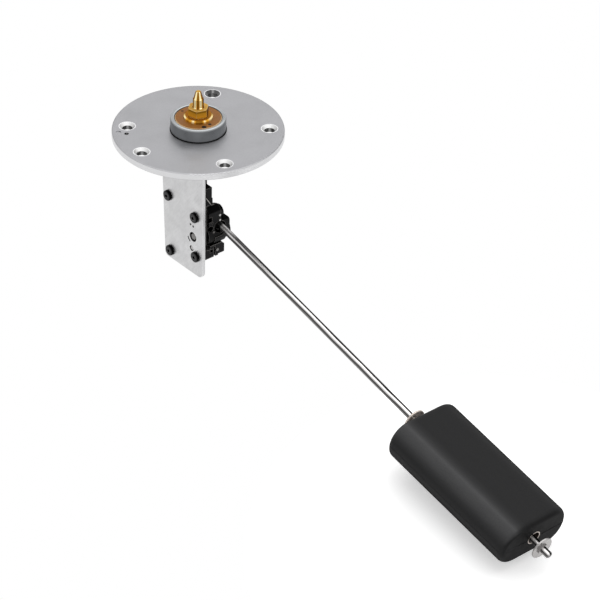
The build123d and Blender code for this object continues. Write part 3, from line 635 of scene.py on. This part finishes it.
def float_skin(name, colour):
    """Satin foam skin with fine pores and faint flow marks, a painted highlight band, and painted
    shade on its ends and outline.
    """
    made, tree, shader = surface(name, 0.0, 0.035)
    place = object_mapping(tree)
    flow = noise(tree, object_mapping(tree, (0.3, 1.0, 1.0), (0, -FLOAT_DROP, 0)), 3.2, 4.0, 0.6)
    fine = noise(tree, place, 0.4, 4.0, 0.7)
    pores = node(tree, "ShaderNodeTexVoronoi", Scale=1.0 / (1.1 * MM))
    tree.links.new(place, pores.inputs["Vector"])
    pits = ranged(tree, pores.outputs["Distance"], 0.0, 1.0, 0.06, 0.2)
    toned = shaded(tree, colour, ranged(tree, flow, 0.96, 1.05))
    grained = shaded(tree, toned, ranged(tree, fine, 0.9, 1.12))
    pitted = shaded(tree, grained, ranged(tree, pits, 0.82, 1.0, 0.0, 1.0))
    end_on, _, upward = split(tree, coordinates(tree, "Normal"))
    # Painted highlight band across the float's upper side.
    across = ranged(tree, split(tree, place)[1], 0.0, 1.0,
                    ROD_MARK.y - 18.0 * MM, ROD_MARK.y - 5.5 * MM)
    painted_highlight = blended(tree, ranged(tree, upward, 0.0, 1.0, 0.1, 0.35), (1.0, 1.0, 1.0),
                    banded(tree, across, "float_painted_highlight"))
    lit = shaded(tree, pitted, painted_highlight)
    # Painted shade on the end faces.
    ended = shaded(tree, lit, ranged(tree, end_on, 1.0, 0.62, 0.6, 0.9))
    # Painted shade towards the outline, left off the faces that look up.
    clear = maths(tree, "MAXIMUM", grazing(tree, 1.0, 0.0, 0.52, 0.80),
                  ranged(tree, upward, 0.0, 1.0, 0.75, 0.95))
    feed(tree, shader,
         Base_Color=shaded(tree, ended, ranged(tree, clear, 0.25, 1.0, 0.0, 1.0)),
         Specular_IOR_Level=ranged(tree, clear, 0.0, 0.035, 0.0, 1.0),
         Roughness=ranged(tree, flow, 0.36, 0.5))
    rough_normal = bump(tree, shader, fine, 0.02)
    bump(tree, shader, pits, 0.012, 0.6, rough_normal)
    return made


def dress(names, made):
    """Gives every named CAD piece one material."""
    for name in names:
        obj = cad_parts[name]
        obj.data.materials.clear()
        obj.data.materials.append(made)


def soften(names, width_mm):
    """Small rounded edges on named CAD pieces."""
    for name in names:
        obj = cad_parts[name]
        weld = obj.modifiers.new("joined", "WELD")
        weld.merge_threshold = 1e-6
        round_off = obj.modifiers.new("edges", "BEVEL")
        round_off.width = width_mm * MM
        round_off.segments = 2
        round_off.limit_method = "ANGLE"
        round_off.angle_limit = math.radians(32.0)
        round_off.harden_normals = True


# ---- mesh building ----

def mesh_object(name, verts, faces, made):
    """Object with one material from points in metres."""
    mesh = bpy.data.meshes.new(name)
    mesh.from_pydata([tuple(v) for v in verts], [], faces)
    mesh.validate()
    mesh.update()
    mesh.materials.append(made)
    obj = bpy.data.objects.new(name, mesh)
    bpy.context.scene.collection.objects.link(obj)
    return obj


def piece(name, verts, faces, made, body, smooth=False):
    """Piece of the visual model that rides on a body."""
    obj = mesh_object(name, verts, faces, made)
    if smooth:
        obj.data.shade_smooth()
    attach(obj, body)


def swept(points, section):
    """Bar of a small section carried along points.

    Each point has its centre and the two directions that the section is given in.
    """
    verts = [centre + side * a + lift * b for centre, side, lift in points for a, b in section]
    faces = []
    count = len(section)
    last = (len(points) - 1) * count
    for base in range(0, last, count):
        for k in range(count):
            n = (k + 1) % count
            faces.append((base + k, base + n, base + count + n, base + count + k))
    faces.append(tuple(reversed(range(count))))
    faces.append(tuple(last + k for k in range(count)))
    return verts, faces


def merged(parts):
    """Several point and face lists as one."""
    verts = []
    faces = []
    for some_verts, some_faces in parts:
        start = len(verts)
        verts.extend(some_verts)
        faces.extend(tuple(index + start for index in face) for face in some_faces)
    return verts, faces


def polar(angle, radius, y):
    """Point about the pivot, the angle in degrees up from +X."""
    turn = math.radians(angle)
    return Vector((PIVOT.x + radius * math.cos(turn), y, PIVOT.z + radius * math.sin(turn)))


def flat_arc(start, end, inner, outer, low, high, steps):
    """Curved flat bar about the pivot, between two values of Y."""
    verts = []
    faces = []
    for index in range(steps + 1):
        angle = start + (end - start) * index / steps
        verts += [polar(angle, inner, low), polar(angle, outer, low),
                  polar(angle, outer, high), polar(angle, inner, high)]
    for base in range(0, steps * 4, 4):
        for k in range(4):
            n = (k + 1) % 4
            faces.append((base + k, base + n, base + 4 + n, base + 4 + k))
    faces.append((3, 2, 1, 0))
    faces.append(tuple(steps * 4 + k for k in range(4)))
    return verts, faces


def rod_point(x):
    """Point of the rod's centre line at the given X."""
    return Vector((x, ROD_MARK.y, ROD_MARK.z - (x - ROD_MARK.x) * math.tan(ROD_DROP)))


# ---- operators ----

class SENDER_OT_dress_flange(bpy.types.Operator):
    """Finishes the flange and the terminal stack"""
    bl_idname = "sender.dress_flange"
    bl_label = "Flange and terminal finishes"

    def execute(self, context):
        colours = context.scene.sender_finish
        plate = grained_metal("tumbled_aluminium", colours.flange_grey)
        turned_edge(plate, colours.edge_grey)
        dress(["mounting_flange"], plate)
        cup = grained_metal("zinc_plate", colours.collar_grey, (0.26, 0.42), grain=0.25,
                            mottle=5.0, depth=0.008, contrast=0.10)
        rolled_lip(cup)
        dress(["terminal_collar"], cup)
        dress(["terminal_disc"], laminate("brown_laminate", colours.disc_brown))
        gold = colours.brass_gold
        # The stud, nuts and washer carry painted reflection bands, the nuts a painted edge
        # highlight, and the washer's top is a painted dark reflection.
        dress(["terminal_stud"], tarnished_brass("terminal_brass", gold, "stud"))
        dress(["terminal_nut", "inner_nut"], tarnished_brass(
            "nut_brass", gold, "nut", rise="nut_height_reflections", edge_highlight_mm=0.45))
        dress(["terminal_washer"], tarnished_brass(
            "washer_brass", gold, "washer", top=(0.36, 0.14, 0.012), metallic=0.3))
        dress(["terminal_seal"], moulding("seal_rubber", (0.012, 0.012, 0.012), (0.6, 0.75)))
        dress(["inner_bush"], moulding("bush_nylon", (0.55, 0.50, 0.40), (0.4, 0.5)))
        soften(["terminal_nut", "inner_nut"], 0.15)
        return {"FINISHED"}


class SENDER_OT_dress_bracket(bpy.types.Operator):
    """Finishes the bracket plate and its screws"""
    bl_idname = "sender.dress_bracket"
    bl_label = "Bracket finishes"

    def execute(self, context):
        colours = context.scene.sender_finish
        sheet = brushed_metal("plated_sheet", colours.plate_grey, (1.0, 1.0, 0.08), (0.3, 0.46))
        scuffed_sheet(sheet)
        dress(["sender_bracket"], sheet)
        oxide = moulding("black_oxide", (0.020, 0.020, 0.021), (0.22, 0.34), grain=0.15,
                         depth=0.006, metallic=0.6, gloss=0.2)
        painted_flank_shade(oxide)
        dress(["plate_screws"], oxide)
        dress(["threaded_inserts"], tarnished_brass("insert_brass", (0.55, 0.36, 0.13)))
        return {"FINISHED"}


class SENDER_OT_dress_module(bpy.types.Operator):
    """Finishes the sender module behind the plate"""
    bl_idname = "sender.dress_module"
    bl_label = "Module finishes"

    def execute(self, context):
        colours = context.scene.sender_finish
        black = moulding("moulded_nylon", colours.moulded_black)
        painted_edge_light_and_shade(black, 0.5, (0.22, 0.21, 0.20), 2.5)
        dress(["sender_housing", "rotor"], black)
        soften(["rotor"], 0.1)
        dress(["resistor_card"], moulding(
            "card_ceramic", (0.72, 0.72, 0.69), (0.35, 0.5), grain=0.2, depth=0.006))
        ground = {"rough": (0.2, 0.34), "grain": 0.2, "mottle": 3.0, "depth": 0.004}
        steel = grained_metal("bright_steel", colours.steel_grey, **ground)
        dress(["locating_dowel", "pivot_clip", "spring_washer", "rotor_rivets", "lock_washer"],
              steel)
        dress(["block_pin", "pivot_pin"], grained_metal(
            "pin_steel", (0.20, 0.195, 0.19), **ground))
        strip = brushed_metal("spring_strip", (0.36, 0.35, 0.33), (0.1, 1.0, 1.0), (0.22, 0.36))
        strip_painted_shade(strip)
        dress(["wiper_spring", "contact_strip"], strip)
        return {"FINISHED"}


class SENDER_OT_dress_float_arm(bpy.types.Operator):
    """Finishes the rod, the float and the retainers"""
    bl_idname = "sender.dress_float_arm"
    bl_label = "Float arm finishes"

    def execute(self, context):
        colours = context.scene.sender_finish
        dress(["float_rod"], drawn_rod("drawn_rod", colours.steel_grey))
        dress(["float_sleeve"], grained_metal("sleeve_tube", (0.5, 0.44, 0.40), (0.25, 0.4)))
        dress(["float_body"], float_skin("float_skin", colours.float_black))
        stamped = {"rough": (0.2, 0.34), "grain": 0.3, "mottle": 2.0, "depth": 0.003,
                   "contrast": 0.12}
        dress(["far_retainer"], grained_metal(
            "plated_steel", (0.66, 0.58, 0.52), metallic=0.3, **stamped))
        dress(["near_retainer"], grained_metal("stamped_steel", (0.36, 0.35, 0.345), **stamped))
        return {"FINISHED"}


class SENDER_OT_stud_thread(bpy.types.Operator):
    """Cuts a thread on the stud's lower end"""
    bl_idname = "sender.stud_thread"
    bl_label = "Stud thread"

    def execute(self, context):
        sizes = context.scene.sender_detail
        low, high = THREAD_ENDS
        turns = (high - low) / sizes.thread_pitch - 0.4
        steps_per_turn, fade_steps = 28, 8
        steps = int(turns * steps_per_turn)
        half = sizes.thread_pitch * 0.30
        root = -0.1 * MM
        points = []
        for index in range(steps + 1):
            turn = 2 * math.pi * turns * index / steps
            side = Vector((math.cos(turn), math.sin(turn), 0))
            fade = min(1.0, index / fade_steps, (steps - index) / fade_steps) + 0.01
            z = low + half + (high - low - 2 * half) * index / steps
            centre = side * THREAD_RADIUS + Vector((0, 0, z))
            points.append((centre, side * fade, Vector((0, 0, 1))))
        verts, faces = swept(points, ((root, -half), (sizes.thread_height, 0.0), (root, half)))
        piece("stud_thread", verts, faces, bpy.data.materials["terminal_brass"], "tank_unit")
        return {"FINISHED"}


class SENDER_OT_card_tracks(bpy.types.Operator):
    """Prints the resistor's tracks on the card"""
    bl_idname = "sender.card_tracks"
    bl_label = "Card tracks"

    def execute(self, context):
        sizes = context.scene.sender_detail
        low, high = CARD_FACE - 0.005 * MM, CARD_FACE + sizes.track_height
        silver = grained_metal("printed_silver", (0.52, 0.51, 0.49), (0.35, 0.5), grain=0.2,
                               mottle=2.0, depth=0.004)
        ink = moulding("resistor_ink", (0.035, 0.030, 0.028), (0.5, 0.6), grain=0.2, depth=0.004)
        comb_inner, comb_outer = 10.5 * MM, 12.1 * MM
        bars = [flat_arc(127.5, 208, comb_outer, 13.1 * MM, low, high, 32),
                flat_arc(131, 207, 9.9 * MM, comb_inner, low, high, 28)]
        teeth, first_tooth, tooth_step, tooth_width = 30, 132, 2.55, 1.1
        for index in range(teeth):
            angle = first_tooth + index * tooth_step
            bars.append(flat_arc(angle, angle + tooth_width, comb_inner, comb_outer, low, high, 1))
        verts, faces = merged(bars)
        piece("card_tracks", verts, faces, silver, "tank_unit")
        verts, faces = flat_arc(134, 206, 8.3 * MM, 9.5 * MM, low, high, 28)
        piece("resistor_band", verts, faces, ink, "tank_unit")
        return {"FINISHED"}


class SENDER_OT_parting_line(bpy.types.Operator):
    """Adds the bead along the float's parting line"""
    bl_idname = "sender.parting_line"
    bl_label = "Float parting line"

    def execute(self, context):
        along = Vector((math.cos(FLOAT_DROP), 0, -math.sin(FLOAT_DROP)))
        across = Vector((0, 1, 0))
        up = along.cross(across)
        centre = rod_point(FLOAT_X)
        radius = context.scene.sender_detail.bead_radius
        turns = [2 * math.pi * k / 8 for k in range(8)]
        section = [(radius * math.cos(turn), radius * math.sin(turn)) for turn in turns]
        strands = []
        for side in (-1, 1):
            points = []
            for wide, long, out_wide, out_long in self.outline():
                place = centre + across * (wide * side) + along * long
                out = across * (out_wide * side) + along * out_long
                points.append((place - out * (radius * 0.35), out, up))
            strands.append(swept(points, section))
        verts, faces = merged(strands)
        piece("float_parting_line", verts, faces, bpy.data.materials["float_skin"], "float",
              smooth=True)
        return {"FINISHED"}

    def outline(self):
        """Half of the float's outline, each point with the direction out of the float."""
        path = [(FLOAT_BORE_CLEAR, FLOAT_HALF_LENGTH, 0.0, 1.0)]
        for end, first_angle in ((1, 90), (-1, 0)):
            for k in range(7):
                turn = math.radians(first_angle - 15 * k)
                wide, long = math.cos(turn), math.sin(turn)
                path.append((FLOAT_HALF_WIDTH - FLOAT_CORNER + FLOAT_CORNER * wide,
                             end * (FLOAT_HALF_LENGTH - FLOAT_CORNER) + FLOAT_CORNER * long,
                             wide, long))
        path.append((FLOAT_BORE_CLEAR, -FLOAT_HALF_LENGTH, 0.0, -1.0))
        return path


class SENDER_OT_weld_spots(bpy.types.Operator):
    """Adds the weld spots under the bracket's foot"""
    bl_idname = "sender.weld_spots"
    bl_label = "Weld spots"

    def execute(self, context):
        reach = context.scene.sender_detail.weld_radius
        burnt = grained_metal("weld_scale", (0.22, 0.19, 0.17), (0.4, 0.6), grain=0.3,
                              mottle=1.5, depth=0.02, contrast=0.3)
        count = 24
        rings = ((0.45, -1.0), (0.75, -1.1), (1.0, -0.86))
        spots = []
        for x, y in WELD_PLACES:
            centre = Vector((x, y, 0)) * MM
            verts = [centre + Vector((0, 0, rings[0][1] * MM))]
            for share, z in rings:
                for k in range(count):
                    turn = 2 * math.pi * k / count
                    verts.append(centre + Vector((share * reach * math.cos(turn),
                                                  share * reach * math.sin(turn), z * MM)))
            faces = []
            for k in range(count):
                n = (k + 1) % count
                faces.append((0, 1 + n, 1 + k))
                for base in (1, 1 + count):
                    faces.append((base + k, base + n, base + count + n, base + count + k))
            faces.append(tuple(1 + 2 * count + k for k in range(count)))
            spots.append((verts, faces))
        verts, faces = merged(spots)
        piece("weld_spots", verts, faces, burnt, "tank_unit", smooth=True)
        return {"FINISHED"}


class SENDER_OT_stage(bpy.types.Operator):
    """Sets up the floor, the soft lamps and the camera"""
    bl_idname = "sender.stage"
    bl_label = "Stage, lamps and camera"

    def execute(self, context):
        view = context.scene.sender_view
        self.floor()
        self.surroundings(context.scene, view.world_strength)
        self.lamp("key_lamp", view.key_strength, 80.0, (-0.12, 0.28, 1.0))
        self.lamp("side_lamp", view.fill_strength, 40.0, (0.75, -0.55, 0.45))
        self.camera(context.scene, view)
        return {"FINISHED"}

    def floor(self):
        """Pale round table a little below the float, tilted away from the flange."""
        centre = Vector((TABLE_X, 0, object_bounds()[0][2] - TABLE_GAP))
        count = 96
        verts = [centre]
        faces = []
        for k in range(count):
            turn = 2 * math.pi * k / count
            reach = TABLE_RADIUS * math.cos(turn)
            verts.append(centre + Vector((reach, TABLE_RADIUS * math.sin(turn),
                                          -reach * math.tan(TABLE_TILT))))
            faces.append((0, 1 + k, 1 + (k + 1) % count))
        mesh_object("floor", verts, faces, self.table_white())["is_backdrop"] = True

    def table_white(self):
        """Matt white that looks as bright as the background but still takes a shadow."""
        made = bpy.data.materials.new("white_floor")
        made.use_nodes = True
        tree = made.node_tree
        tree.nodes.remove(tree.nodes["Principled BSDF"])
        matt = node(tree, "ShaderNodeBsdfDiffuse")
        tone = ranged(tree, noise(tree, object_mapping(tree), 40.0), 0.90, 0.92)
        tree.links.new(tone, matt.inputs["Color"])
        glow = node(tree, "ShaderNodeEmission", Color=(1, 1, 1, 1))
        feed(tree, glow, Strength=maths(tree, "MULTIPLY", self.seen(tree), TABLE_GLOW))
        total = node(tree, "ShaderNodeAddShader")
        tree.links.new(matt.outputs[0], total.inputs[0])
        tree.links.new(glow.outputs[0], total.inputs[1])
        feed(tree, tree.nodes["Material Output"], Surface=total.outputs[0])
        return made

    def seen(self, tree):
        """1 for rays from the camera and for reflected or refracted ones."""
        path = node(tree, "ShaderNodeLightPath")
        direct = maths(tree, "MAXIMUM", path.outputs["Is Camera Ray"],
                       path.outputs["Is Glossy Ray"])
        return maths(tree, "MAXIMUM", direct, path.outputs["Is Transmission Ray"])

    def surroundings(self, scene, strength):
        """Plain surroundings that look white but light the piece with less."""
        world = bpy.data.worlds.new("studio")
        world.use_nodes = True
        tree = world.node_tree
        back = tree.nodes["Background"]
        back.inputs["Color"].default_value = (1, 1, 1, 1)
        feed(tree, back, Strength=ranged(tree, self.seen(tree), strength, 1.0, 0.0, 1.0))
        scene.world = world

    def lamp(self, name, strength, spread, direction):
        """Distant soft lamp shining from a direction."""
        data = bpy.data.lights.new(name, "SUN")
        data.energy = strength
        data.angle = math.radians(spread)
        obj = bpy.data.objects.new(name, data)
        obj.rotation_euler = Vector(direction).to_track_quat("Z", "Y").to_euler()
        obj.location = Vector(direction)
        bpy.context.scene.collection.objects.link(obj)

    def camera(self, scene, view):
        """Camera that looks from the front right and above."""
        turn, height, roll = view.azimuth, view.elevation, view.roll
        back = Vector((math.sin(turn) * math.cos(height), -math.cos(turn) * math.cos(height),
                       math.sin(height)))
        right = Vector((math.cos(turn), math.sin(turn), 0))
        up = back.cross(right)
        right, up = (math.cos(roll) * right + math.sin(roll) * up,
                     -math.sin(roll) * right + math.cos(roll) * up)
        data = bpy.data.cameras.new("product_camera")
        data.sensor_width = SENSOR_WIDTH
        data.lens = view.lens
        data.clip_end = 20.0
        pixel = SENSOR_WIDTH / (FRAME_PIXELS * view.lens) * view.distance
        across = (view.origin_pixel[0] - FRAME_PIXELS / 2) * pixel
        upward = (FRAME_PIXELS / 2 - view.origin_pixel[1]) * pixel
        basis = Matrix((right, up, back)).transposed().to_4x4()
        basis.translation = (Vector((0, 0, FLANGE_TOP)) + back * view.distance
                             - right * across - up * upward)
        obj = bpy.data.objects.new("product_camera", data)
        obj.matrix_world = basis
        scene.collection.objects.link(obj)
        scene.camera = obj


class SENDER_PT_panel(bpy.types.Panel):
    """Lists the sender's steps and sizes"""
    bl_idname = "SENDER_PT_panel"
    bl_label = "Fuel level sender"
    bl_space_type = "VIEW_3D"
    bl_region_type = "UI"
    bl_category = "Sender"

    def draw(self, context):
        layout = self.layout
        for step in STEPS:
            layout.operator(step)
        for group in (context.scene.sender_detail, context.scene.sender_finish,
                      context.scene.sender_view):
            box = layout.box()
            for key in group.__annotations__:
                box.prop(group, key)


STEPS = (
    "sender.dress_flange",
    "sender.dress_bracket",
    "sender.dress_module",
    "sender.dress_float_arm",
    "sender.stud_thread",
    "sender.card_tracks",
    "sender.parting_line",
    "sender.weld_spots",
    "sender.stage",
)

CLASSES = (
    SenderDetail,
    SenderFinish,
    SenderView,
    SENDER_OT_dress_flange,
    SENDER_OT_dress_bracket,
    SENDER_OT_dress_module,
    SENDER_OT_dress_float_arm,
    SENDER_OT_stud_thread,
    SENDER_OT_card_tracks,
    SENDER_OT_parting_line,
    SENDER_OT_weld_spots,
    SENDER_OT_stage,
    SENDER_PT_panel,
)


def register():
    for entry in CLASSES:
        bpy.utils.register_class(entry)
    bpy.types.Scene.sender_detail = PointerProperty(type=SenderDetail)
    bpy.types.Scene.sender_finish = PointerProperty(type=SenderFinish)
    bpy.types.Scene.sender_view = PointerProperty(type=SenderView)


def unregister():
    del bpy.types.Scene.sender_view
    del bpy.types.Scene.sender_finish
    del bpy.types.Scene.sender_detail
    for entry in reversed(CLASSES):
        bpy.utils.unregister_class(entry)


def main():
    register()
    bpy.context.scene.view_settings.view_transform = "Standard"
    for step in STEPS:
        group, name = step.split(".")
        getattr(getattr(bpy.ops, group), name)()


if __name__ == "__main__":
    main()
